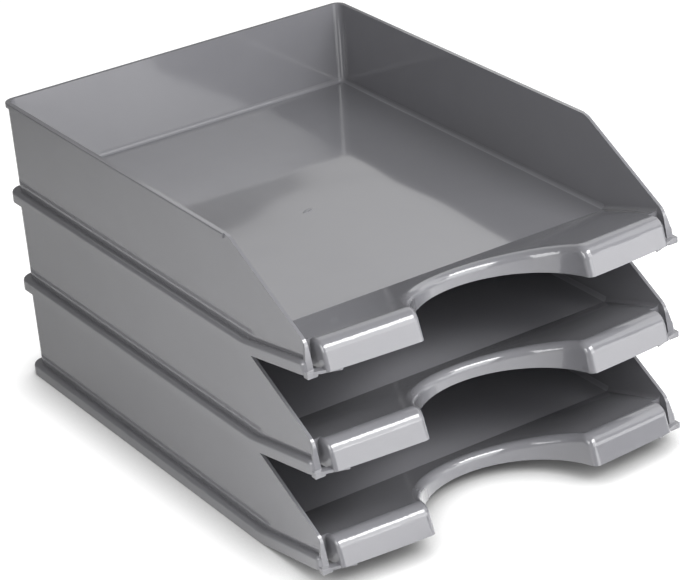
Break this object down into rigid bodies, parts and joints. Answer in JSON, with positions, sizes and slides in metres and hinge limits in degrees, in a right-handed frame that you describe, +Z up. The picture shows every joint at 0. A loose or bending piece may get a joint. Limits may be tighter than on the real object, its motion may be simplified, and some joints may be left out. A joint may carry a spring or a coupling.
{
  "type": "letter tray stack",
  "caption": "Stack of matching open-front letter trays in glossy grey plastic, each with a ramped floor, a rolled front lip and an arched finger gap, nested rim to skirt.",
  "frame": {"origin": "centre of the footprint on the desk, at the resting face of the lowest tray", "axes": "+X to the right seen from the open front, +Y to the rear wall, +Z up"},
  "size_m": [0.255, 0.3489, 0.1879],
  "materials": {
    "tray_plastic": "glossy opaque moulded plastic, mid grey"
  },
  "bodies": {
    "bottom_tray": {"bottom_tray": "tray_plastic"},
    "middle_tray": {"middle_tray": "tray_plastic"},
    "top_tray": {"top_tray": "tray_plastic"}
  },
  "joints": [
    {"name": "middle_lift", "type": "slide", "parent": "bottom_tray", "child": "middle_tray", "axis": [0, 0, 1], "range_m": [0, 0.1]},
    {"name": "top_lift", "type": "slide", "parent": "middle_tray", "child": "top_tray", "axis": [0, 0, 1], "range_m": [0, 0.1]}
  ]
}
